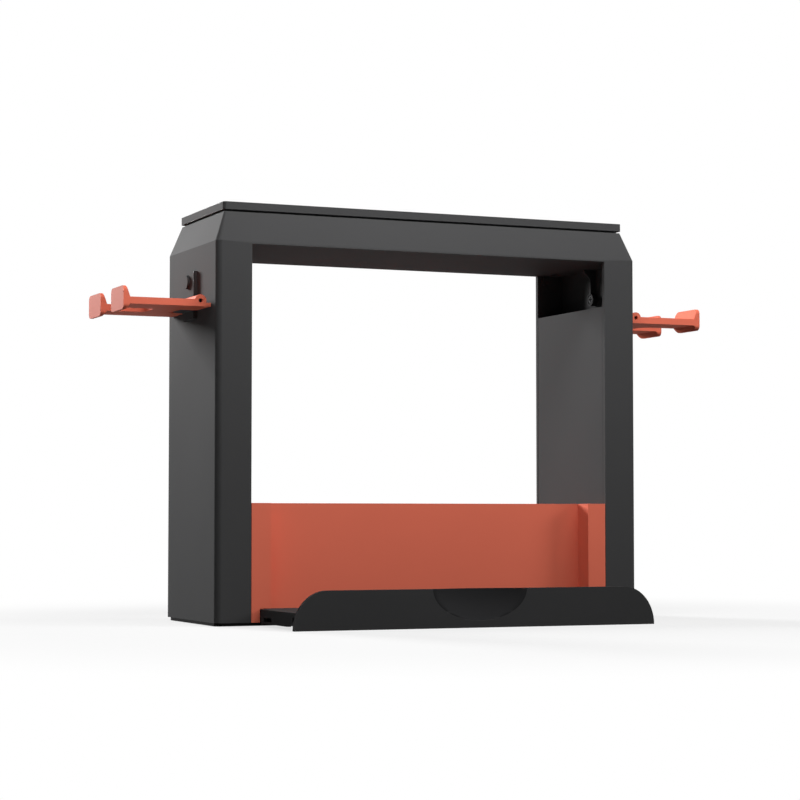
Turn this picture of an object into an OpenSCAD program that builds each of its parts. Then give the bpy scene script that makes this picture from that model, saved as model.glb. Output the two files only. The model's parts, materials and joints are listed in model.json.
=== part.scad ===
/* [Frame] */
// Width across the two posts
frame_w = 231.6; // [200:1:290]
// Depth of the posts, front to back
frame_d = 80; // [76:1:120]
// Height from the floor to the top of the cover
frame_h = 208; // [180:1:280]
// Width of one post, seen from the front
post_w = 18.1; // [16:0.5:26]
// Wall thickness of the post and beam mouldings
wall = 2.4; // [1.6:0.1:3]
// Radius of the upright outer corners
corner_r = 3; // [1.5:0.5:5]
// Height of the inner panels above the floor
panel_top = 163.5; // [140:0.5:165]

/* [Beam and cover] */
// Height of the tapered band
band_h = 16.2; // [12:0.1:24]
// How far the band leans in at its top
band_in = 5.6; // [3:0.1:8]
// How far the cover stands in from the posts' faces
cover_in = 5; // [3:0.1:7]
// Thickness of the cover's edge
cover_t = 3.8; // [2.5:0.1:6]
// Height of the shadow groove under the cover
groove_h = 1; // [0.6:0.1:2]

/* [Base] */
// Height of the base plate's upper face
base_t = 1.8; // [1.5:0.1:3]
// How far the base plate stops short of the back
base_back_in = 5; // [2:0.5:8]

/* [Rack] */
// Number of upright slots
slots = 14; // [6:1:14]
// Distance from one slot to the next
slot_pitch = 12.9; // [10:0.1:12.9]
// Thickness of a divider
divider_t = 1.6; // [1.2:0.1:2.4]
// Height of the rack's floor above the ground
rack_floor = 13.6; // [12:0.1:20]
// Height of the rack's front above the ground
rack_top = 60; // [45:1:90]
// Height of the dividers at the back above the ground
rack_low = 26; // [22:1:40]
// Radius of the hollow curve on the dividers
rack_curve = 32; // [16:1:34]
// Thickness of the rack's walls and floor
rack_wall = 2; // [1.6:0.1:2.4]
// Width of the recess in the rack's front
recess_w = 175; // [160:1:175]
// Depth of the recess in the rack's front
recess_d = 11.4; // [9:0.1:16]

/* [Tray] */
// How far the tray stands out in front of the posts
tray_reach = 54.2; // [40:1:70]
// Height of the tray's platform
tray_top = 8.2; // [7.6:0.1:10]
// Width of the platform
platform_w = 185.4; // [170:0.2:185.4]
// Thickness of the platform and its ribs
tray_t = 2; // [1.6:0.1:2.4]
// Width of the front lip at the floor
lip_w = 191; // [186:0.5:200]
// Height of the front lip
lip_h = 18.8; // [14:0.1:26]
// Thickness of the front lip
lip_t = 2.4; // [1.6:0.1:3]
// Width of the rounded end of the lip
lip_end = 16.7; // [8:0.1:24]
// Width of the thumb dish at the lip's top edge
dish_w = 50; // [30:1:70]
// Height of the thumb dish
dish_h = 15.4; // [8:0.1:15.6]
// Depth of the thumb dish
dish_depth = 5; // [2:0.1:6]

/* [Hooks] */
// Length of a hook along the frame's side
hook_w = 63; // [50:1:66]
// How far a hook reaches out from the post
hook_reach = 44.5; // [36:0.5:46]
// Height of the hinge pin above the floor
hook_z = 159; // [110:0.5:165]
// Distance from the post to the hinge pin
pin_off = 5.5; // [5:0.1:7]
// Radius of the hinge knuckles
knuckle_r = 2.9; // [2.6:0.1:3.6]
// Radius of the hinge pin
pin_r = 1; // [0.8:0.05:1.3]
// Thickness of the hook's arm
arm_t = 3.4; // [2.6:0.1:3.6]
// Width of the gap between the prongs
fork_gap = 19; // [12:0.5:24]
// Distance from the post to the start of the gap
fork_root = 22; // [16:0.5:26]
// Height of the hook's upright tip
tip_h = 11.5; // [8:0.1:12]
// How far the tip reaches below the arm
tip_drop = 2.6; // [2:0.1:4]
// Thickness of the tip where it meets the arm
tip_t = 3.4; // [2.6:0.1:4.4]

/* [Hidden] */
$fn = 48;

black = [0.10, 0.10, 0.11];
deep_black = [0.05, 0.05, 0.055];
coral = [0.86, 0.36, 0.24];
steel = [0.62, 0.63, 0.65];
rubber_grey = [0.16, 0.16, 0.16];

// Clearance between parts that sit in each other, a small step for clean cuts, and how far two
// stretches of one moulding run into each other
clr = 0.2;
cut = 1;
join = 0.5;

// Places that the driving sizes give
front_y = (tray_reach - frame_d) / 2;
back_y = front_y + frame_d;
mid_y = front_y + frame_d / 2;
post_x = frame_w / 2 - post_w;
side_x = frame_w / 2;
cover_z = frame_h - cover_t;
beam_top = cover_z - groove_h;
beam_z = beam_top - band_h;
shell_h = beam_z - base_t;

// Inner panel, the ledges that it lies on and its clips
panel_t = 2;
panel_clips = 4;
clip_w = 7;
clip_t = 1.2;
clip_end = 16;
ledge_w = 2;
ledge_t = 1.6;
ledge_low = 14;

// Band of the beam that stays upright below the taper, its floor and ribs, and the lugs at its ends
band_straight = 1.2;
beam_floor = 2;
beam_ribs = 5;
beam_rib_h = 7;
lug_h = 5;
lug_w = 9;
lug_t = 1.6;
lug_in = 3;

// Cover
groove_in = 1.6;
cover_r = 2;
skirt_h = 4;
skirt_t = 1.6;

// Rack
rack_half = post_x - clr;
recess_half = recess_w / 2;
slots_w = slots * slot_pitch;
recess_y = front_y + recess_d;
slot_y = recess_y + rack_wall;
rack_arc = min(rack_top - rack_low, rack_curve);
rack_back_in = 1.5;

// Tray: its deck ends at the rack's front, and a lower tongue runs on under the rack
lip_y = front_y - tray_reach;
platform_half = platform_w / 2;
tongue_in = 1.5;
tongue_y = recess_y + tongue_in;
tongue_top = tray_top - 0.6;
notch_clr = 0.4;
skirt_z = 1.4;

// Thumb dish: a bowl whose rim cuts the lip's face at the dish's two ends
dish_wall = 1;
dish_half = dish_w / 2;
dish_ball = (dish_half * dish_half / dish_depth + dish_depth) / 2;
dish_y = lip_y - dish_ball + dish_depth;

// Screws and their bosses
base_under = 0.3;
screw_r = 1.2;
hole_r = 1.3;
pilot_r = 1.25;
head_r = 2.5;
head_h = 1.3;
head_sink = 0.8;
boss_r = 3.4;
base_screw_l = 10;
cup_r = boss_r + 1;
cup_z = base_t + 2;
post_screw_y = [front_y + wall + boss_r + 1.6, back_y - base_back_in - boss_r - 3];
post_screw_x = post_x + post_w / 2;
cover_screw_in = band_in + wall + clr + boss_r;
cover_screw_x = side_x - cover_screw_in;
cover_screw_y = [front_y + cover_screw_in, back_y - cover_screw_in];
rack_screw = [slots_w / 3, mid_y + 10];
rack_rib_off = 18;
tray_screw = [platform_half - 14, front_y + 6];

// Feet
foot_r = 7;
foot_t = 1.2;
foot_in = [3, 22];
tray_foot_r = 4.5;
tray_foot_wall = 1.4;
tray_foot_t = foot_t + 0.6;
tray_foot = [platform_half - 12, lip_y + 20.6];

// Hook, measured from its pin
pin_x = side_x + pin_off;
pin_clr = 0.06;
pin_short = 1.5;
lug_half = 9;
knuckle_gap = 0.4;
arm_low = -knuckle_r;
arm_high = arm_low + arm_t;
hook_out = hook_reach - pin_off;
hook_half = hook_w / 2;
prong_w = (hook_w - fork_gap) / 2;
tip_low = arm_low - tip_drop;
tip_top_t = 1.5;
tip_r = 2.6;
root_r = 4;

// Bracket of the hinge: its screw boss stands above the pin, its peg below
bracket_boss_z = hook_z + 12;
bracket_boss_out = 3.4;
bracket_plate_t = 2;
bracket_low = hook_z - 7;
bracket_high = bracket_boss_z + boss_r + 1.5;
peg_z = hook_z - 3.5;
peg_r = 1.5;
rib_deep = 3;
rib_t = 1.8;

// Puts a right-hand part on the side that s names
module flip(s) {
    mirror([s < 0 ? 1 : 0, 0, 0]) children();
}

// Rectangle from the origin with its two corners at the far x rounded
module post_outline(w, d, r) {
    square([w - r, d]);
    translate([0, r])
        square([w, d - 2 * r]);
    translate([w - r, r])
        circle(r);
    translate([w - r, d - r])
        circle(r);
}

// Rectangle about the y axis, from y = 0 back, with four rounded corners
module round_rect(w, d, r) {
    translate([-w / 2 + r, 0])
        square([w - 2 * r, d]);
    translate([-w / 2, r])
        square([w, d - 2 * r]);
    for (x = [-w / 2 + r, w / 2 - r], y = [r, d - r])
        translate([x, y])
            circle(r);
}

// Plan of the frame, taken in by a margin on all four sides
module frame_plan(inset) {
    translate([0, front_y + inset])
        round_rect(frame_w - 2 * inset, frame_d - 2 * inset, max(corner_r - inset, 0.8));
}

// Cylinder along x
module rod_x(r, l) {
    rotate([0, 90, 0])
        cylinder(r = r, h = l);
}

// Cylinder along y
module rod_y(r, l) {
    rotate([-90, 0, 0])
        cylinder(r = r, h = l);
}

// Outline in x and z, drawn out along y
module along_y(l) {
    rotate([90, 0, 0])
        translate([0, 0, -l])
            linear_extrude(l)
                children();
}

// Outline in y and z, drawn out along x
module along_x(l) {
    rotate([90, 0, 90])
        linear_extrude(l)
            children();
}

// Outer moulding of a post: a channel, open to the inside, with its screw bosses
module shell(s) {
    color(black)
    flip(s)
        difference() {
            union() {
                difference() {
                    translate([post_x, front_y, base_t])
                        linear_extrude(shell_h)
                            post_outline(post_w, frame_d, corner_r);
                    translate([post_x - cut, front_y + wall, base_t - cut])
                        linear_extrude(shell_h + 2 * cut)
                            post_outline(post_w - wall + cut, frame_d - 2 * wall,
                                         max(corner_r - wall, 0.5));
                }
                shell_rib();
                shell_ledges();
                translate([side_x - wall - rib_deep, mid_y, bracket_boss_z])
                    rod_x(boss_r, rib_deep + wall / 2);
                for (y = post_screw_y)
                    shell_foot_boss(y);
            }
            // Hole and head recess of the screw that holds the bracket
            translate([post_x, mid_y, bracket_boss_z])
                rod_x(hole_r, post_w + cut);
            translate([side_x - wall - rib_deep - cut, mid_y, bracket_boss_z])
                rod_x(head_r + clr, cut + head_h + clr);
            // Hole of the bracket's peg
            translate([post_x + post_w / 2, mid_y, peg_z])
                rod_x(peg_r + clr / 4, post_w);
            // Pilot holes of the base screws
            for (y = post_screw_y)
                translate([post_screw_x, y, base_t - cut])
                    cylinder(r = pilot_r, h = base_screw_l + cut);
        }
}

// Rib from the bracket's boss up to the beam, with a gusset under the beam's floor
module shell_rib() {
    x_out = side_x - wall / 2;
    x_in = side_x - wall - rib_deep;
    gusset = 4;
    translate([0, mid_y - rib_t / 2, 0])
        along_y(rib_t)
            polygon([
                [x_out, bracket_boss_z], [x_out, beam_z], [x_in - gusset, beam_z],
                [x_in - gusset, beam_z - 1], [x_in, beam_z - 1 - gusset], [x_in, bracket_boss_z]
            ]);
}

// Ledges down the front and back walls that the inner panel rests on and clips behind
module shell_ledges() {
    for (y = [front_y + wall - join, back_y - wall - ledge_w])
        translate([post_x + panel_t + clr, y, ledge_low])
            cube([ledge_t, ledge_w + join, panel_top - panel_t - clr - ledge_low]);
}

// Screw boss at the foot of a post, tied to the side wall by a web
module shell_foot_boss(y) {
    z0 = cup_z + clr;
    boss_top = base_screw_l + 2;
    web_x = post_screw_x + pilot_r + 0.8;
    translate([post_screw_x, y, z0])
        cylinder(r = boss_r, h = boss_top - z0);
    translate([web_x, y - rib_t / 2, z0])
        cube([side_x - wall / 2 - web_x, rib_t, boss_top - z0]);
}

// Inner panel of a post, with a shelf at its top that floors the pocket above it, and its clips
module panel(s) {
    depth = frame_d - 2 * wall - 2 * clr;
    shelf_in = post_w - wall - clr;
    edge_in = wall + ledge_w + clr;
    clip_pitch = (panel_top - ledge_low - 2 * clip_end) / (panel_clips - 1);
    color(black)
    flip(s) {
        translate([post_x, front_y + wall + clr, base_t])
            cube([panel_t, depth, panel_top - base_t]);
        translate([post_x, front_y + wall + clr, panel_top - panel_t])
            cube([shelf_in, depth, panel_t]);
        for (i = [0 : panel_clips - 1])
            translate([post_x + panel_t, 0, ledge_low + clip_end + i * clip_pitch - clip_w / 2]) {
                translate([0, front_y + edge_in, 0])
                    panel_clip();
                translate([0, back_y - edge_in, 0])
                    mirror([0, 1, 0])
                        panel_clip();
            }
    }
}

// Snap clip on the back of a panel: a tongue with a barb that reaches behind the ledge
module panel_clip() {
    reach = ledge_t + 2 * clr;
    barb = 0.9 + clr;
    barb_t = 0.5;
    tip = 1.9;
    linear_extrude(clip_w)
        polygon([
            [-join, 0], [reach, 0], [reach, -barb], [reach + barb_t, -barb],
            [reach + tip, clip_t], [-join, clip_t]
        ]);
}

// Tapered block of the beam, its faces taken in by inset, from z0 up to z1
module band_block(inset, z0, z1) {
    taper_z = beam_z + band_straight;
    lean = band_in / (band_h - band_straight);
    translate([0, 0, z0])
        linear_extrude(max(taper_z - z0, 0.01))
            frame_plan(inset);
    hull() {
        translate([0, 0, max(taper_z, z0)])
            linear_extrude(0.01)
                frame_plan(inset + lean * (max(taper_z, z0) - taper_z));
        translate([0, 0, z1 - 0.01])
            linear_extrude(0.01)
                frame_plan(inset + lean * (z1 - taper_z));
    }
}

// Hollow beam that bridges the posts, closed below and open at the top
module top_beam() {
    color(black)
    difference() {
        union() {
            difference() {
                band_block(0, beam_z, beam_top);
                difference() {
                    band_block(wall, beam_z + beam_floor, beam_top + cut);
                    // Stiffening ribs across the beam's floor
                    for (i = [0 : beam_ribs - 1])
                        translate([((2 * i + 1) / beam_ribs - 1) * post_x - rib_t / 2, front_y, beam_z])
                            cube([rib_t, frame_d, beam_floor + beam_rib_h]);
                }
            }
            for (s = [-1, 1], y = cover_screw_y)
                flip(s)
                    translate([cover_screw_x, y, beam_z + beam_floor / 2])
                        cylinder(r = boss_r, h = beam_top - skirt_h - beam_z - beam_floor / 2);
            // Lugs that drop into the tops of the posts
            for (s = [-1, 1], y = [front_y + wall + clr, back_y - wall - clr - lug_t])
                flip(s)
                    translate([post_x + lug_in, y, beam_z - lug_h])
                        cube([lug_w, lug_t, lug_h + join]);
        }
        for (s = [-1, 1], y = cover_screw_y)
            flip(s)
                translate([cover_screw_x, y, beam_z - cut])
                    cylinder(r = pilot_r, h = band_h + cut * 2);
        // Recesses for the heads of the screws that pass up into the cover
        for (s = [-1, 1], y = cover_screw_y)
            flip(s)
                translate([cover_screw_x, y, beam_z - cut])
                    cylinder(r = head_r + clr, h = head_h + cut + clr);
    }
}

// Flat cover with a shadow groove, a locating skirt and four screw bosses
module top_cover() {
    neck_in = cover_in + groove_in;
    skirt_in = band_in + wall + clr;
    color(black)
    difference() {
        union() {
            translate([0, 0, cover_z])
                linear_extrude(cover_t)
                    frame_plan_rounded(cover_in);
            translate([0, 0, beam_top])
                linear_extrude(groove_h + join)
                    frame_plan_rounded(neck_in);
            translate([0, 0, beam_top - skirt_h])
                difference() {
                    linear_extrude(skirt_h + join)
                        frame_plan_rounded(skirt_in);
                    translate([0, 0, -cut])
                        linear_extrude(skirt_h + 2 * cut)
                            frame_plan_rounded(skirt_in + skirt_t);
                }
            for (s = [-1, 1], y = cover_screw_y)
                flip(s)
                    translate([cover_screw_x, y, beam_top - skirt_h + clr])
                        cylinder(r = boss_r, h = skirt_h);
        }
        // Pilot holes, which stop short of the cover's upper face
        for (s = [-1, 1], y = cover_screw_y)
            flip(s)
                translate([cover_screw_x, y, beam_top - skirt_h - cut])
                    cylinder(r = pilot_r, h = skirt_h + cut + groove_h + cover_t / 3);
    }
}

// Plan of the frame with corners that stay rounded however far it is taken in
module frame_plan_rounded(inset) {
    translate([0, front_y + inset])
        round_rect(frame_w - 2 * inset, frame_d - 2 * inset, cover_r);
}

// Plate that ties the posts and the rack together, with recesses for its feet
module base_plate() {
    color(deep_black)
    difference() {
        union() {
            translate([0, front_y, base_under])
                linear_extrude(base_t - base_under)
                    round_rect(frame_w, frame_d - base_back_in, corner_r);
            for (p = base_screw_places())
                translate([p[0], p[1], base_under])
                    cylinder(r = cup_r, h = cup_z - base_under);
        }
        for (p = base_screw_places()) {
            translate([p[0], p[1], 0])
                cylinder(r = hole_r, h = cup_z + cut);
            translate([p[0], p[1], 0])
                cylinder(r = head_r + clr, h = base_under + head_sink + head_h);
        }
        for (p = foot_places())
            translate([p[0], p[1], 0])
                cylinder(r = foot_r + clr, h = foot_t);
    }
}

// Places of the screws that reach the bosses of the posts and the rack
function long_screw_places() = concat(
    [for (s = [-1, 1], y = post_screw_y) [s * post_screw_x, y]],
    [for (s = [-1, 1]) [s * rack_screw[0], rack_screw[1]]]
);

// Places of the screws that hold the tray's tongue
function short_screw_places() = [for (s = [-1, 1]) [s * tray_screw[0], tray_screw[1]]];

// All the places where the base plate is screwed up
function base_screw_places() = concat(long_screw_places(), short_screw_places());

// Places of the four round feet under the base plate
function foot_places() = [
    for (s = [-1, 1], y = [front_y + foot_in[1], back_y - base_back_in - foot_in[1]])
        [s * (side_x - foot_r - foot_in[0]), y]
];

// Side view of a divider: tall at the front, then a hollow curve down to a low back
module divider_side() {
    y0 = recess_y + rack_wall / 2;
    y1 = back_y - rack_back_in;
    z0 = rack_floor - rack_wall / 2;
    flat = 5;
    bevel = 3;
    step = 6;
    arc_y = slot_y + flat + rack_arc;
    arc_z = rack_low + rack_arc;
    polygon(concat(
        [[y0, z0], [y0, arc_z]],
        [for (a = [0 : step : 90]) [arc_y - rack_arc * cos(a), arc_z - rack_arc * sin(a)]],
        [[y1 - bevel, rack_low], [y1, rack_low - bevel], [y1, z0]]
    ));
}

// Slotted rack: floor, stepped front, sides and one divider between each two slots
module slot_rack() {
    wall_z = tongue_top + clr;
    notch_z = tray_top + notch_clr;
    notch_half = platform_half + notch_clr;
    color(coral)
    difference() {
        union() {
            // Floor and the front wall behind the recess
            translate([-rack_half, recess_y, rack_floor - rack_wall])
                cube([2 * rack_half, back_y - recess_y, rack_wall]);
            translate([-recess_half - rack_wall, recess_y, wall_z])
                cube([recess_w + 2 * rack_wall, rack_wall, rack_top - wall_z]);
            for (s = [-1, 1])
                flip(s) {
                    // Cheek in line with the posts' fronts, and its return into the recess
                    translate([recess_half, front_y, base_t])
                        cube([rack_half - recess_half, rack_wall, rack_top - base_t]);
                    translate([recess_half, front_y, notch_z])
                        cube([rack_wall, recess_d + rack_wall, rack_top - notch_z]);
                    // Side wall down to the base plate
                    translate([rack_half - rack_wall, front_y, base_t])
                        cube([rack_wall, recess_d + rack_wall, rack_top - base_t]);
                    translate([rack_half - rack_wall, recess_y, base_t])
                        cube([rack_wall, frame_d - recess_d, rack_floor - base_t]);
                    translate([rack_half - rack_wall, 0, 0])
                        along_x(rack_wall)
                            divider_side();
                    // Screw boss under the floor
                    translate([rack_screw[0], rack_screw[1], cup_z + clr])
                        cylinder(r = boss_r, h = rack_floor - cup_z - clr - rack_wall / 2);
                }
            for (i = [0 : slots])
                translate([-slots_w / 2 + i * slot_pitch - divider_t / 2, 0, 0])
                    along_x(divider_t)
                        divider_side();
            // Skirt at the back and ribs under the floor
            translate([-rack_half, back_y - rack_wall, base_t])
                cube([2 * rack_half, rack_wall, rack_floor - base_t]);
            for (s = [-1, 1], x = [0, rack_screw[0] - rack_rib_off, rack_screw[0] + rack_rib_off])
                translate([s * x - rack_wall / 2, tongue_y + notch_clr, base_t])
                    cube([rack_wall, back_y - tongue_y - notch_clr, rack_floor - base_t]);
        }
        // The tray's deck passes under the cheeks, and its tongue under the front wall too
        translate([-notch_half, front_y - cut, 0])
            cube([2 * notch_half, cut + recess_d, notch_z]);
        translate([-notch_half, front_y - cut, 0])
            cube([2 * notch_half, cut + tongue_y - front_y + clr, wall_z]);
        for (s = [-1, 1])
            translate([s * rack_screw[0], rack_screw[1], 0])
                cylinder(r = pilot_r, h = base_screw_l);
    }
}

// Front view of the lip: straight top edge and quarter-ellipse ends
module lip_front() {
    half = lip_w / 2;
    flat = half - lip_end;
    step = 6;
    polygon(concat(
        [[-half, 0], [half, 0]],
        [for (a = [0 : step : 90]) [flat + lip_end * cos(a), lip_h * sin(a)]],
        [for (a = [90 : step : 180]) [-flat + lip_end * cos(a), lip_h * sin(a)]]
    ));
}

// Thumb dish: a bowl with an upright axis and a round-bottomed side, open at the top
module dish_bowl() {
    tall = dish_h * dish_ball / dish_half;
    steps = 12;
    translate([0, dish_y, lip_h])
        rotate_extrude($fn = 96)
            polygon(concat(
                [[0, cut], [0, -dish_h]],
                [for (i = [steps : -1 : 0]) let (z = dish_h * i / steps)
                    [dish_ball * sqrt(1 - (z * z) / (tall * tall)), -z]],
                [[dish_ball, cut]]
            ));
}

// Upright boss behind the lip that gives the thumb dish its back
module dish_back() {
    low = tray_top - tray_t / 2;
    intersection() {
        translate([0, dish_y, low])
            cylinder(r = dish_ball + dish_wall, h = lip_h - low, $fn = 96);
        translate([-dish_half, lip_y + lip_t / 2, low])
            cube([dish_w, dish_depth + dish_wall, lip_h - low]);
    }
}

// Openings low in the tray's side: a slot by the lip, a relief behind it, a window by the frame
module tray_side_cuts() {
    size_y = [7, 8, 11];
    low_z = [3.8, -cut, 2.4];
    high_z = [6.2, 2, 4.4];
    from_y = [lip_y + lip_t + 0.8, lip_y + 9, front_y - 15];
    for (i = [0 : 2])
        translate([platform_half - 2 * tray_t, from_y[i], low_z[i]])
            cube([3 * tray_t, size_y[i], high_z[i] - low_z[i]]);
}

// Tray in front of the frame: deck, skirts, ribs, tongue, lip and thumb dish
module front_tray() {
    rib_z = 0.8;
    under = tray_top - tray_t;
    deck_y = lip_y + lip_t / 2;
    deck_l = front_y - clr - deck_y;
    rib_pitch = (tray_foot[0] - tray_foot_r - 9) / 2;
    screw_skin = 0.8;
    color(black)
    difference() {
        union() {
            // Deck, its narrower end in the rack's recess, and the tongue a step lower
            translate([-platform_half, deck_y, under])
                cube([platform_w, deck_l, tray_t]);
            translate([clr - recess_half, deck_y, under])
                cube([recess_w - 2 * clr, recess_y - clr - deck_y, tray_t]);
            translate([-platform_half, front_y - clr - tray_t, tongue_top - tray_t])
                cube([platform_w, tongue_y - front_y + clr + tray_t, tray_t]);
            // Skirts down both sides, shorter where the tongue runs over the base plate
            for (s = [-1, 1])
                flip(s) {
                    translate([platform_half - tray_t, deck_y, skirt_z])
                        cube([tray_t, deck_l, tray_top - skirt_z]);
                    translate([platform_half - tray_t, deck_y, base_t + clr])
                        cube([tray_t, tongue_y - deck_y, tongue_top - base_t - clr]);
                    translate([tray_foot[0], tray_foot[1], foot_t])
                        cylinder(r = tray_foot_r + tray_foot_wall, h = under + join - foot_t);
                    translate([tray_screw[0], tray_screw[1], cup_z + clr])
                        cylinder(r = boss_r, h = under + join - cup_z - clr);
                }
            for (i = [-2 : 2])
                translate([i * rib_pitch - tray_t / 2, deck_y, rib_z])
                    cube([tray_t, deck_l, tray_top - rib_z]);
            translate([-platform_half, front_y - tray_t - clr, rib_z])
                cube([platform_w, tray_t, tray_top - rib_z]);
            translate([0, lip_y, 0])
                along_y(lip_t)
                    lip_front();
            dish_back();
        }
        dish_bowl();
        for (s = [-1, 1])
            flip(s) {
                tray_side_cuts();
                translate([tray_foot[0], tray_foot[1], 0])
                    cylinder(r = tray_foot_r + clr, h = tray_foot_t);
                translate([tray_screw[0], tray_screw[1], 0])
                    cylinder(r = pilot_r, h = tray_top - screw_skin);
            }
    }
}

// Hinge bracket on the outside of a post: plate, screw boss, peg and one broad knuckle
module bracket(s) {
    web_top = 1;
    boss_skin = 0.8;
    color(black)
    flip(s)
        difference() {
            union() {
                translate([side_x, mid_y - lug_half, bracket_low])
                    cube([bracket_plate_t, 2 * lug_half, bracket_high - bracket_low]);
                translate([side_x, mid_y, bracket_boss_z])
                    rod_x(boss_r, bracket_boss_out);
                translate([side_x - wall + clr, mid_y, peg_z])
                    rod_x(peg_r, wall);
                // Web out to the knuckle, and the knuckle
                translate([side_x, mid_y - lug_half, hook_z - knuckle_r])
                    cube([pin_off, 2 * lug_half, 2 * knuckle_r - web_top]);
                translate([pin_x, mid_y - lug_half, hook_z])
                    rod_y(knuckle_r, 2 * lug_half);
            }
            translate([side_x - cut, mid_y, bracket_boss_z])
                rod_x(pilot_r, cut + bracket_boss_out - boss_skin);
            translate([pin_x, mid_y - lug_half - cut, hook_z])
                rod_y(pin_r + pin_clr / 2, 2 * (lug_half + cut));
        }
}

// Hinge pin, a little short of the knuckles' ends
module hinge_pin(s) {
    color(steel)
    flip(s)
        translate([pin_x, mid_y - hook_half + pin_short, hook_z])
            rod_y(pin_r, hook_w - 2 * pin_short);
}

// Plan of a hook's arm: two prongs with round roots between them
module hook_plan() {
    slot_x = fork_root - pin_off;
    difference() {
        translate([0, -hook_half])
            square([hook_out, hook_w]);
        translate([slot_x + root_r, -fork_gap / 2])
            square([hook_out, fork_gap]);
        translate([slot_x, -fork_gap / 2 + root_r])
            square([hook_out, fork_gap - 2 * root_r]);
        for (y = [-1, 1])
            translate([slot_x + root_r, y * (fork_gap / 2 - root_r)])
                circle(root_r);
    }
}

// Side view of a tip: upright outer face, inner face that leans out as it rises
module tip_side() {
    top = tip_low + tip_h;
    polygon([
        [hook_out - tip_t, arm_high], [hook_out - tip_top_t, top], [hook_out, top],
        [hook_out, tip_low], [hook_out - tip_top_t, tip_low], [hook_out - tip_t, arm_low]
    ]);
}

// Face of a tip: a rectangle with rounded corners
module tip_face() {
    translate([prong_w / 2, 0])
        round_rect(prong_w, tip_h, tip_r);
}

// Folding hook: two knuckles with stop heels, a broad arm, two prongs and their tips
module hook(s) {
    knuckle_y = lug_half + knuckle_gap;
    knuckle_l = hook_half - knuckle_y;
    heel_t = 1.8;
    heel_gap = 0.3;
    swing_gap = 0.6;
    color(coral)
    flip(s)
        translate([pin_x, mid_y, hook_z])
            difference() {
                union() {
                    translate([0, 0, arm_low])
                        linear_extrude(arm_t)
                            hook_plan();
                    for (m = [0, 1])
                        mirror([0, m, 0]) {
                            translate([0, knuckle_y, 0])
                                rod_y(knuckle_r, knuckle_l);
                            translate([heel_gap - pin_off, knuckle_y, arm_low])
                                cube([pin_off - heel_gap, knuckle_l, heel_t]);
                            intersection() {
                                translate([0, fork_gap / 2, 0])
                                    along_y(prong_w)
                                        tip_side();
                                translate([0, fork_gap / 2, tip_low])
                                    along_x(hook_out + cut)
                                        tip_face();
                            }
                        }
                }
                translate([0, -hook_half - cut, 0])
                    rod_y(pin_r + pin_clr, hook_w + 2 * cut);
                // Room for the bracket's knuckle over the whole swing
                translate([-pin_off - cut, -knuckle_y, -pin_off])
                    cube([pin_off + cut + knuckle_r + swing_gap, 2 * knuckle_y, 2 * pin_off]);
            }
}

// Pan-head screw that points up the z axis from its head
module screw(l) {
    cylinder(r = head_r, h = head_h);
    translate([0, 0, head_h / 2])
        cylinder(r = screw_r, h = l - head_h / 2);
}

// Screws from inside the posts into the hinge brackets
module bracket_screws() {
    bite = 1.6;
    color(steel)
    for (s = [-1, 1])
        flip(s)
            translate([side_x - wall - rib_deep + clr, mid_y, bracket_boss_z])
                rotate([0, 90, 0])
                    screw(wall + rib_deep + bite);
}

// Screws from below the base plate into the posts, the rack and the tray's tongue
module base_screws() {
    z0 = base_under + head_sink;
    end_gap = 0.6;
    tongue_skin = 1.6;
    color(steel) {
        for (p = long_screw_places())
            translate([p[0], p[1], z0])
                screw(base_screw_l - end_gap - z0);
        for (p = short_screw_places())
            translate([p[0], p[1], z0])
                screw(tray_top - tongue_skin - z0);
    }
}

// Screws up through the beam's floor into the cover
module cover_screws() {
    bite = 0.8;
    color(steel)
    for (s = [-1, 1], y = cover_screw_y)
        flip(s)
            translate([cover_screw_x, y, beam_z + clr])
                screw(band_h - clr + bite);
}

// Four rubber feet under the base plate
module frame_feet() {
    color(rubber_grey)
    for (p = foot_places())
        translate([p[0], p[1], 0])
            cylinder(r = foot_r, h = foot_t);
}

// Two rubber feet under the tray
module tray_feet() {
    color(rubber_grey)
    for (s = [-1, 1])
        translate([s * tray_foot[0], tray_foot[1], 0])
            cylinder(r = tray_foot_r, h = tray_foot_t);
}

shell(-1);  // left_shell
shell(1);  // right_shell
panel(-1);  // left_panel
panel(1);  // right_panel
top_beam();
top_cover();
base_plate();
slot_rack();
front_tray();
bracket(-1);  // left_bracket
bracket(1);  // right_bracket
hinge_pin(-1);  // left_pin
hinge_pin(1);  // right_pin
hook(-1);  // left_hook
hook(1);  // right_hook
bracket_screws();
base_screws();
cover_screws();
frame_feet();
tray_feet();
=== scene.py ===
import json
import math

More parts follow.
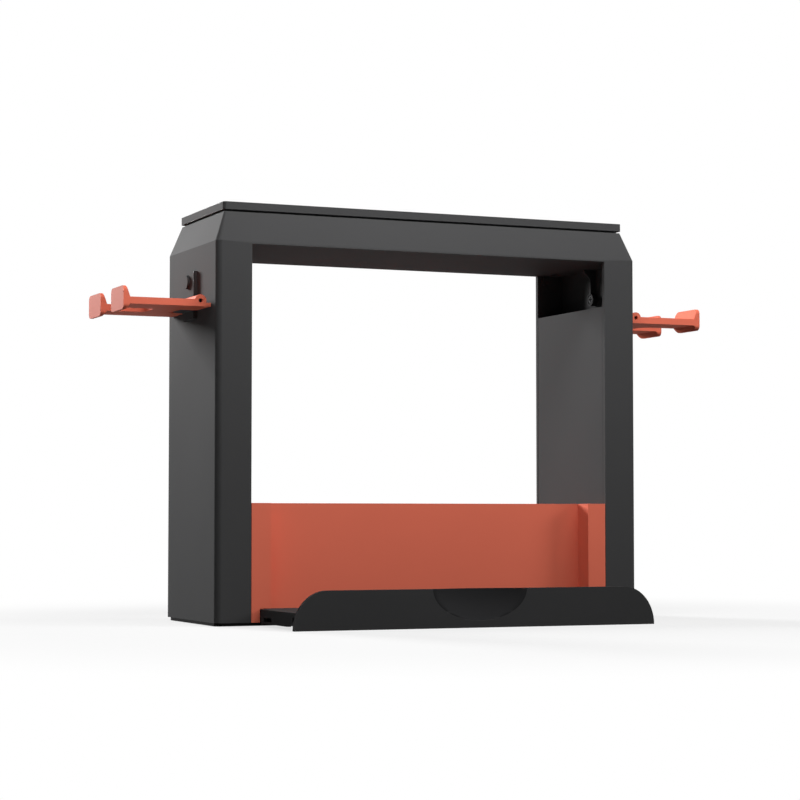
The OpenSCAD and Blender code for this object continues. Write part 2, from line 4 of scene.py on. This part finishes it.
import bmesh
import bpy
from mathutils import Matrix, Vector

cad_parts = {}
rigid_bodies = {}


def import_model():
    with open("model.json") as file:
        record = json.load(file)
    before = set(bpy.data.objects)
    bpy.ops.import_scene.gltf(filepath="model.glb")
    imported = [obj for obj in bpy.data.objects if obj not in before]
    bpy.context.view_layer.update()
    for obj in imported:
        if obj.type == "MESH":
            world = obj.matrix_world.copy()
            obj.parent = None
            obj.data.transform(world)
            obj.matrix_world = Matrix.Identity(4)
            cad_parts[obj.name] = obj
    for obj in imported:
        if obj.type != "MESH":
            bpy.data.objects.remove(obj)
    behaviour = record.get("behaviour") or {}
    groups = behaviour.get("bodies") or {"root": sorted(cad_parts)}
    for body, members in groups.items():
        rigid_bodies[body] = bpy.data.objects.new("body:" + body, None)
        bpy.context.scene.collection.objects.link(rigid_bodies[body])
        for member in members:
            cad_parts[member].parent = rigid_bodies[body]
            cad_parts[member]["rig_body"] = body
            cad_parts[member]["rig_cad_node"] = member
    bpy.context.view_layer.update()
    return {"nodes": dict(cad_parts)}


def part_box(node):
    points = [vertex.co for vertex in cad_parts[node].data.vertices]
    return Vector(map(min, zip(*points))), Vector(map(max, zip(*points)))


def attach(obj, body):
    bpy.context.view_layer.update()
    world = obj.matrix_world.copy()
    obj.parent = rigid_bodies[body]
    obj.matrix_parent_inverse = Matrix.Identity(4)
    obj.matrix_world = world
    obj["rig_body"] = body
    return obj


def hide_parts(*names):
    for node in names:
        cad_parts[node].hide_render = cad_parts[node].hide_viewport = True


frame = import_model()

bpy.context.scene.view_settings.view_transform = "Standard"


# Camera
# A long lens set low on the left, as the photograph was taken: its place and turn were fitted to the
# outlines of the posts, the cover and the lip.
camera_place = (-0.4577, -1.0381, 0.0531)
camera_tilt_up = math.radians(3.016)
camera_turn_right = math.radians(23.17)
camera_data = bpy.data.cameras.new("camera")
camera_data.lens = 100
camera_data.sensor_width = 36
camera_data.clip_start = 0.05
camera = bpy.data.objects.new("camera", camera_data)
camera.location = camera_place
camera.rotation_euler = (math.pi / 2 + camera_tilt_up, 0, -camera_turn_right)
bpy.context.scene.collection.objects.link(camera)
bpy.context.scene.camera = camera


# Floor and light
# A pale floor that fades into a white surround. A broad soft lamp far round to the right and one behind on
# the left light both faces and leave the rounded corner between them darker; a weak strip hangs in front
# above for the beam and the tray.
seen_rays = ["Is Camera Ray", "Is Glossy Ray", "Is Transmission Ray"]


def ray_is(tree, kinds):
    """Sum of the Light Path outputs named in kinds, held at 1."""
    path = tree.nodes.new("ShaderNodeLightPath")
    total = path.outputs[kinds[0]]
    for kind in kinds[1:]:
        add = tree.nodes.new("ShaderNodeMath")
        add.operation = "ADD"
        add.use_clamp = True
        tree.links.new(total, add.inputs[0])
        tree.links.new(path.outputs[kind], add.inputs[1])
        total = add.outputs[0]
    return total


def white_surround():
    """Seen as white, but it lights the stand only weakly, and less from below than from above."""
    light_below = (0.01, 0.01, 0.01, 1)
    light_above = (0.11, 0.11, 0.11, 1)
    climb_start = -0.1
    climb_end = 0.9
    world = bpy.data.worlds.new("studio")
    bpy.context.scene.world = world
    world.use_nodes = True
    tree = world.node_tree
    tree.nodes.clear()
    out = tree.nodes.new("ShaderNodeOutputWorld")
    place = tree.nodes.new("ShaderNodeTexCoord")
    split = tree.nodes.new("ShaderNodeSeparateXYZ")
    climb = tree.nodes.new("ShaderNodeMapRange")
    climb.interpolation_type = "SMOOTHSTEP"
    climb.inputs["From Min"].default_value = climb_start
    climb.inputs["From Max"].default_value = climb_end
    shade = tree.nodes.new("ShaderNodeMix")
    shade.data_type = "RGBA"
    shade.inputs["A"].default_value = light_below
    shade.inputs["B"].default_value = light_above
    lit = tree.nodes.new("ShaderNodeBackground")
    seen = tree.nodes.new("ShaderNodeBackground")
    seen.inputs["Color"].default_value = (1, 1, 1, 1)
    seen.inputs["Strength"].default_value = 1.0
    mix = tree.nodes.new("ShaderNodeMixShader")
    tree.links.new(place.outputs["Generated"], split.inputs[0])
    tree.links.new(split.outputs["Z"], climb.inputs["Value"])
    tree.links.new(climb.outputs["Result"], shade.inputs["Factor"])
    tree.links.new(shade.outputs["Result"], lit.inputs["Color"])
    tree.links.new(ray_is(tree, seen_rays), mix.inputs["Fac"])
    tree.links.new(lit.outputs[0], mix.inputs[1])
    tree.links.new(seen.outputs[0], mix.inputs[2])
    tree.links.new(mix.outputs[0], out.inputs["Surface"])


def pale_floor():
    """Matte and lifted towards white near the stand, for its shadow, and plain white farther off."""
    floor_size = 12.0
    shadow_reach = 0.16
    white_from = 0.42
    pale = (0.17, 0.17, 0.17, 1)
    lifted_by = 0.7
    bpy.ops.object.select_all(action="DESELECT")
    bpy.ops.mesh.primitive_plane_add(size=floor_size, location=(0, 0, 0))
    floor = bpy.context.object
    floor.name = "floor"
    mat = bpy.data.materials.new("floor_white")
    mat.use_nodes = True
    tree = mat.node_tree
    tree.nodes.clear()
    out = tree.nodes.new("ShaderNodeOutputMaterial")
    matte = tree.nodes.new("ShaderNodeBsdfDiffuse")
    matte.inputs["Color"].default_value = pale
    lift = tree.nodes.new("ShaderNodeEmission")
    lift.inputs["Strength"].default_value = lifted_by
    sheet = tree.nodes.new("ShaderNodeAddShader")
    white = tree.nodes.new("ShaderNodeEmission")
    white.inputs["Strength"].default_value = 1.0
    place = tree.nodes.new("ShaderNodeTexCoord")
    reach = tree.nodes.new("ShaderNodeVectorMath")
    reach.operation = "LENGTH"
    fade = tree.nodes.new("ShaderNodeMapRange")
    fade.interpolation_type = "SMOOTHSTEP"
    fade.inputs["From Min"].default_value = shadow_reach
    fade.inputs["From Max"].default_value = white_from
    spread = tree.nodes.new("ShaderNodeMixShader")
    gate = tree.nodes.new("ShaderNodeMixShader")
    tree.links.new(place.outputs["Object"], reach.inputs[0])
    tree.links.new(reach.outputs["Value"], fade.inputs["Value"])
    tree.links.new(matte.outputs[0], sheet.inputs[0])
    tree.links.new(lift.outputs[0], sheet.inputs[1])
    tree.links.new(fade.outputs["Result"], spread.inputs["Fac"])
    tree.links.new(sheet.outputs[0], spread.inputs[1])
    tree.links.new(white.outputs[0], spread.inputs[2])
    tree.links.new(ray_is(tree, seen_rays), gate.inputs["Fac"])
    tree.links.new(matte.outputs[0], gate.inputs[1])
    tree.links.new(spread.outputs[0], gate.inputs[2])
    tree.links.new(gate.outputs[0], out.inputs["Surface"])
    floor.data.materials.append(mat)


def soft_lamp(name, place, aim, width, height, watts):
    data = bpy.data.lights.new(name, "AREA")
    data.shape = "RECTANGLE"
    data.size = width
    data.size_y = height
    data.energy = watts
    lamp = bpy.data.objects.new(name, data)
    lamp.location = place
    lamp.rotation_euler = (Vector(aim) - Vector(place)).to_track_quat("-Z", "Y").to_euler()
    bpy.context.scene.collection.objects.link(lamp)


white_surround()
pale_floor()
soft_lamp("front_right_lamp", place=(2.6, -1.5, 1.2), aim=(0, 0, 0.14), width=0.9, height=0.9, watts=33)
soft_lamp("rear_left_lamp", place=(-0.5, 1.3, 0.6), aim=(0, 0, 0.14), width=0.3, height=0.5, watts=38.5)
soft_lamp("top_lamp", place=(0, -0.2, 0.45), aim=(0, -0.05, 0.1), width=0.5, height=0.12, watts=2.1)


# Posts
# Two tall channels moulded in black ABS with a fine spark-eroded skin, closed on the inside by flat
# panels that stop short of the top and leave an open pocket there.
def grain_group():
    """Fine moulded skin: a shallow pebble for the bump and a slow drift in gloss and tone."""
    drifts_per_metre = 14
    darkest_tone = (0.88, 0.88, 0.88, 1)
    group = bpy.data.node_groups.new("moulded_skin", "ShaderNodeTree")
    put = group.interface.new_socket
    put(name="Grain Size", in_out="INPUT", socket_type="NodeSocketFloat")
    put(name="Gloss Drift", in_out="INPUT", socket_type="NodeSocketFloat")
    put(name="Roughness", in_out="INPUT", socket_type="NodeSocketFloat")
    put(name="Color", in_out="INPUT", socket_type="NodeSocketColor")
    put(name="Height", in_out="OUTPUT", socket_type="NodeSocketFloat")
    put(name="Roughness", in_out="OUTPUT", socket_type="NodeSocketFloat")
    put(name="Color", in_out="OUTPUT", socket_type="NodeSocketColor")
    nodes, links = group.nodes, group.links
    given = nodes.new("NodeGroupInput")
    made = nodes.new("NodeGroupOutput")
    place = nodes.new("ShaderNodeTexCoord")
    scale = nodes.new("ShaderNodeMath")
    scale.operation = "DIVIDE"
    scale.inputs[0].default_value = 1.0
    links.new(given.outputs["Grain Size"], scale.inputs[1])
    pebble = nodes.new("ShaderNodeTexNoise")
    pebble.inputs["Detail"].default_value = 2
    links.new(place.outputs["Object"], pebble.inputs["Vector"])
    links.new(scale.outputs[0], pebble.inputs["Scale"])
    links.new(pebble.outputs["Fac"], made.inputs["Height"])
    drift = nodes.new("ShaderNodeTexNoise")
    drift.inputs["Scale"].default_value = drifts_per_metre
    drift.inputs["Detail"].default_value = 3
    links.new(place.outputs["Object"], drift.inputs["Vector"])
    centred = nodes.new("ShaderNodeMath")
    centred.operation = "SUBTRACT"
    centred.inputs[1].default_value = 0.5
    links.new(drift.outputs["Fac"], centred.inputs[0])
    swing = nodes.new("ShaderNodeMath")
    swing.operation = "MULTIPLY_ADD"
    links.new(centred.outputs[0], swing.inputs[0])
    links.new(given.outputs["Gloss Drift"], swing.inputs[1])
    links.new(given.outputs["Roughness"], swing.inputs[2])
    links.new(swing.outputs[0], made.inputs["Roughness"])
    tone = nodes.new("ShaderNodeMix")
    tone.data_type = "RGBA"
    tone.blend_type = "MULTIPLY"
    tone.inputs["B"].default_value = darkest_tone
    links.new(drift.outputs["Fac"], tone.inputs["Factor"])
    links.new(given.outputs["Color"], tone.inputs["A"])
    links.new(tone.outputs["Result"], made.inputs["Color"])
    return group


moulded_skin = grain_group()


def grained_finish(name, color, roughness, gloss, grain, depth, drift, metal=0.0):
    """A finish with the moulded skin on it. Grain is the pebble's size and depth its height, in metres."""
    bump_strength = 0.35
    plastic_ior = 1.46
    mat = bpy.data.materials.new(name)
    mat.use_nodes = True
    tree = mat.node_tree
    shader = tree.nodes["Principled BSDF"]
    skin = tree.nodes.new("ShaderNodeGroup")
    skin.node_tree = moulded_skin
    skin.inputs["Grain Size"].default_value = grain
    skin.inputs["Gloss Drift"].default_value = drift
    skin.inputs["Roughness"].default_value = roughness
    skin.inputs["Color"].default_value = (*color, 1)
    bump = tree.nodes.new("ShaderNodeBump")
    bump.inputs["Strength"].default_value = bump_strength
    bump.inputs["Distance"].default_value = depth
    tree.links.new(skin.outputs["Height"], bump.inputs["Height"])
    tree.links.new(bump.outputs["Normal"], shader.inputs["Normal"])
    tree.links.new(skin.outputs["Color"], shader.inputs["Base Color"])
    tree.links.new(skin.outputs["Roughness"], shader.inputs["Roughness"])
    shader.inputs["IOR"].default_value = plastic_ior
    shader.inputs["Specular IOR Level"].default_value = gloss
    shader.inputs["Metallic"].default_value = metal
    return mat


def finished_copy(node, name, ease, body, mat, edge=None, shortest=0.0012, sharp=28,
                  keep=None, cuts=()):
    """A copy of a CAD node with its long sharp edges eased as a mould leaves them, but for those that
    keep(a, b) names by their two ends. The eased edges take the material edge, where one is given, and
    cuts are places in x where an edge may start or end."""
    weld_reach = 0.000005
    flat_within = math.radians(0.4)
    smooth_below = math.radians(32)
    bpy.ops.object.select_all(action="DESELECT")
    source = frame["nodes"][node]
    source.select_set(True)
    bpy.context.view_layer.objects.active = source
    bpy.ops.object.duplicate()
    piece = bpy.context.object
    piece.parent = None
    piece.name = name
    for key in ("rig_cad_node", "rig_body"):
        del piece[key]
    piece.data.materials.clear()
    piece.data.materials.append(mat)
    if edge:
        piece.data.materials.append(edge)
    edge_material = 1 if edge else -1
    bpy.ops.mesh.customdata_custom_splitnormals_clear()
    bpy.ops.object.mode_set(mode="EDIT")
    bpy.ops.mesh.select_mode(type="EDGE")
    bpy.ops.mesh.select_all(action="SELECT")
    bpy.ops.mesh.remove_doubles(threshold=weld_reach)
    bpy.ops.mesh.dissolve_limited(angle_limit=flat_within)
    for x in cuts:
        bpy.ops.mesh.select_all(action="SELECT")
        bpy.ops.mesh.bisect(plane_co=(x, 0, 0), plane_no=(1, 0, 0))
    bpy.ops.mesh.select_all(action="DESELECT")
    bpy.ops.mesh.edges_select_sharp(sharpness=math.radians(sharp))
    bpy.ops.object.mode_set(mode="OBJECT")
    points = piece.data.vertices
    for line in piece.data.edges:
        a, b = (points[i].co for i in line.vertices)
        if (a - b).length < shortest or (keep and keep(a, b)):
            line.select = False
    for face in piece.data.polygons:
        face.select = False
    bpy.ops.object.mode_set(mode="EDIT")
    bpy.ops.mesh.bevel(offset=ease, segments=2, profile=0.5, clamp_overlap=True, material=edge_material)
    bpy.ops.object.mode_set(mode="OBJECT")
    bpy.ops.object.shade_smooth_by_angle(angle=smooth_below)
    weigh = piece.modifiers.new("flat_faces_stay_flat", "WEIGHTED_NORMAL")
    weigh.keep_sharp = True
    bpy.ops.object.modifier_apply(modifier=weigh.name)
    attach(piece, body)
    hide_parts(node)
    return piece


black_skin = grained_finish("black_moulded", color=(0.06, 0.06, 0.061), roughness=0.72, gloss=0.02,
                            grain=0.0005, depth=0.00004, drift=0.06)
black_edge = grained_finish("black_edge", color=(0.07, 0.07, 0.071), roughness=0.4, gloss=0.45,
                            grain=0.0005, depth=0.00001, drift=0.04)
post_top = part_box("left_shell")[1][2]
post_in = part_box("right_shell")[0][0]
same_height = 0.00001


def at_post_top(a, b):
    return abs(a.z - post_top) < same_height and abs(b.z - post_top) < same_height


for side in ("left", "right"):
    finished_copy(side + "_shell", side + "_post", ease=0.0005, body="stand",
                  mat=black_skin, edge=black_edge, keep=at_post_top)
    finished_copy(side + "_panel", side + "_post_panel", ease=0.0003, body="stand",
                  mat=black_skin)


# Beam and cover
# The tapered beam is one hollow black moulding across both posts; the flat cover drops into it and
# leaves a narrow shadow groove all round.
past_the_joint = 0.0001


def on_a_post(a, b):
    return at_post_top(a, b) and max(abs(a.x), abs(b.x)) > post_in + past_the_joint


finished_copy("top_beam", "tapered_beam", ease=0.0005, body="stand",
              mat=black_skin, edge=black_edge, keep=on_a_post, cuts=(-post_in, post_in))
finished_copy("top_cover", "flat_cover", ease=0.0006, body="stand",
              mat=black_skin, edge=black_edge)


# Base plate
# A thin plate moulded flat in matte black. Screws hold it up against the posts, the rack and the
# tray's tongue.
base_black = grained_finish("base_matte", color=(0.005, 0.005, 0.005), roughness=0.75, gloss=0.02,
                            grain=0.0006, depth=0.00004, drift=0.04)
finished_copy("base_plate", "bottom_plate", ease=0.0003, body="stand", mat=base_black)


# Slotted rack
# One coral ABS moulding with a comb of dividers, a stepped front between two cheeks and an open back.
# It stands between the posts and is screwed down from under the base plate.
coral_skin = grained_finish("coral_moulded", color=(0.8, 0.18, 0.11), roughness=0.62, gloss=0.03,
                            grain=0.0005, depth=0.00003, drift=0.05)
finished_copy("slot_rack", "coral_rack", ease=0.0003, body="stand", mat=coral_skin)


# Front tray
# A low black tray with a lip across its front; its tongue is trapped between the rack and the base. The
# thumb scoop in the lip is smoother, and its darker black is painted shade, not the lip's own colour.
tray_black = grained_finish("tray_black", color=(0.047, 0.047, 0.048), roughness=0.75, gloss=0.02,
                            grain=0.0005, depth=0.00004, drift=0.06)
# Painted shade: the scoop is coloured darker than the tray so that the hollow looks shaded; only its lower
# roughness is real.
scoop_painted_shade = grained_finish("scoop_painted_shade", color=(0.022, 0.022, 0.023), roughness=0.6, gloss=0.02,
                             grain=0.0005, depth=0.00001, drift=0.03)
tray = finished_copy("front_tray", "lipped_tray", ease=0.0004, body="stand",
                     mat=tray_black, edge=black_edge)
tray.data.materials.append(scoop_painted_shade)
grained_face = 0
painted_shade_slot = 2
scoop_half = 0.026
scoop_low = 0.003
scoop_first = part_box("front_tray")[0][1] + 0.0001
scoop_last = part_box("front_tray")[0][1] + 0.0056
facing_front = -0.5
# Faces of the thumb scoop get the painted-shade material.
for face in tray.data.polygons:
    middle = face.center
    in_front = scoop_first < middle.y < scoop_last and face.normal.y < facing_front
    in_scoop = in_front and abs(middle.x) < scoop_half and middle.z > scoop_low
    if in_scoop and face.material_index == grained_face:
        face.material_index = painted_shade_slot


# Hooks
# Each coral hook swings on a black-zinc steel pin through a black bracket, which a screw from inside the
# post holds. The pins are pressed into the brackets' lugs.
black_zinc = grained_finish("black_zinc", color=(0.015, 0.015, 0.016), roughness=0.75, gloss=0.5,
                            grain=0.0003, depth=0.00001, drift=0.12, metal=1.0)
for side in ("left", "right"):
    finished_copy(side + "_hook", side + "_forked_hook", ease=0.0005, body=side + "_hook_arm",
                  mat=coral_skin)
    finished_copy(side + "_bracket", side + "_hinge_bracket", ease=0.0003, body="stand",
                  mat=black_skin, edge=black_edge)
    finished_copy(side + "_pin", side + "_hinge_pin", ease=0.0002, body="stand",
                  mat=black_zinc, sharp=60)


# Screws
# Black-zinc pan-head screws with a cross recess: two hold the brackets, four the cover, and the rest
# come up through the base plate into the posts, the rack and the tray.
def screw_boxes(piece):
    """Low and high corner of each screw's own box in a piece that holds several screws."""
    mesh = bmesh.new()
    mesh.from_mesh(piece.data)
    unreached = set(mesh.verts)
    boxes = []
    while unreached:
        reached = [unreached.pop()]
        screw = []
        while reached:
            vert = reached.pop()
            screw.append(vert.co.copy())
            for line in vert.link_edges:
                other = line.other_vert(vert)
                if other in unreached:
                    unreached.remove(other)
                    reached.append(other)
        low = Vector([min(co[i] for co in screw) for i in range(3)])
        high = Vector([max(co[i] for co in screw) for i in range(3)])
        boxes.append((low, high))
    mesh.free()
    return boxes


def cross_recess(piece, sideways):
    """Cuts a cross into each head: heads look down, or sideways at the stand's middle."""
    arm = 0.0032
    blade = 0.0008
    deep = 0.0009
    blades = []
    for low, high in screw_boxes(piece):
        middle = (low + high) / 2
        if sideways:
            middle.x = low.x if middle.x > 0 else high.x
        else:
            middle.z = low.z
        for wide, tall in ((arm, blade), (blade, arm)):
            bpy.ops.object.select_all(action="DESELECT")
            bpy.ops.mesh.primitive_cube_add(size=1, location=middle)
            size = (2 * deep, wide, tall) if sideways else (wide, tall, 2 * deep)
            bpy.context.object.scale = size
            blades.append(bpy.context.object)
    for one in blades:
        one.select_set(True)
    bpy.ops.object.transform_apply(location=True, rotation=True, scale=True)
    bpy.ops.object.join()
    crosses = bpy.context.object
    recess = piece.modifiers.new("cross_recess", "BOOLEAN")
    recess.object = crosses
    recess.solver = "EXACT"
    recess.use_self = True
    bpy.context.view_layer.objects.active = piece
    bpy.ops.object.modifier_apply(modifier=recess.name)
    bpy.data.objects.remove(crosses)


for group, sideways in (("bracket_screws", True), ("cover_screws", False), ("base_screws", False)):
    screws = finished_copy(group, group.replace("_screws", "_pan_screws"), ease=0.0004, body="stand",
                           mat=black_zinc, shortest=0, sharp=60)
    cross_recess(screws, sideways)


# Feet
# Round pads of dark grey rubber that keep the stand from sliding. They are pressed into shallow cups in
# the base plate and the tray.
foot_rubber = grained_finish("grey_rubber", color=(0.03, 0.03, 0.03), roughness=0.85, gloss=0.3,
                             grain=0.0008, depth=0.00006, drift=0.05)
for group in ("frame_feet", "tray_feet"):
    finished_copy(group, group.replace("_feet", "_rubber_feet"), ease=0.0002, body="stand",
                  mat=foot_rubber, shortest=0, sharp=60)
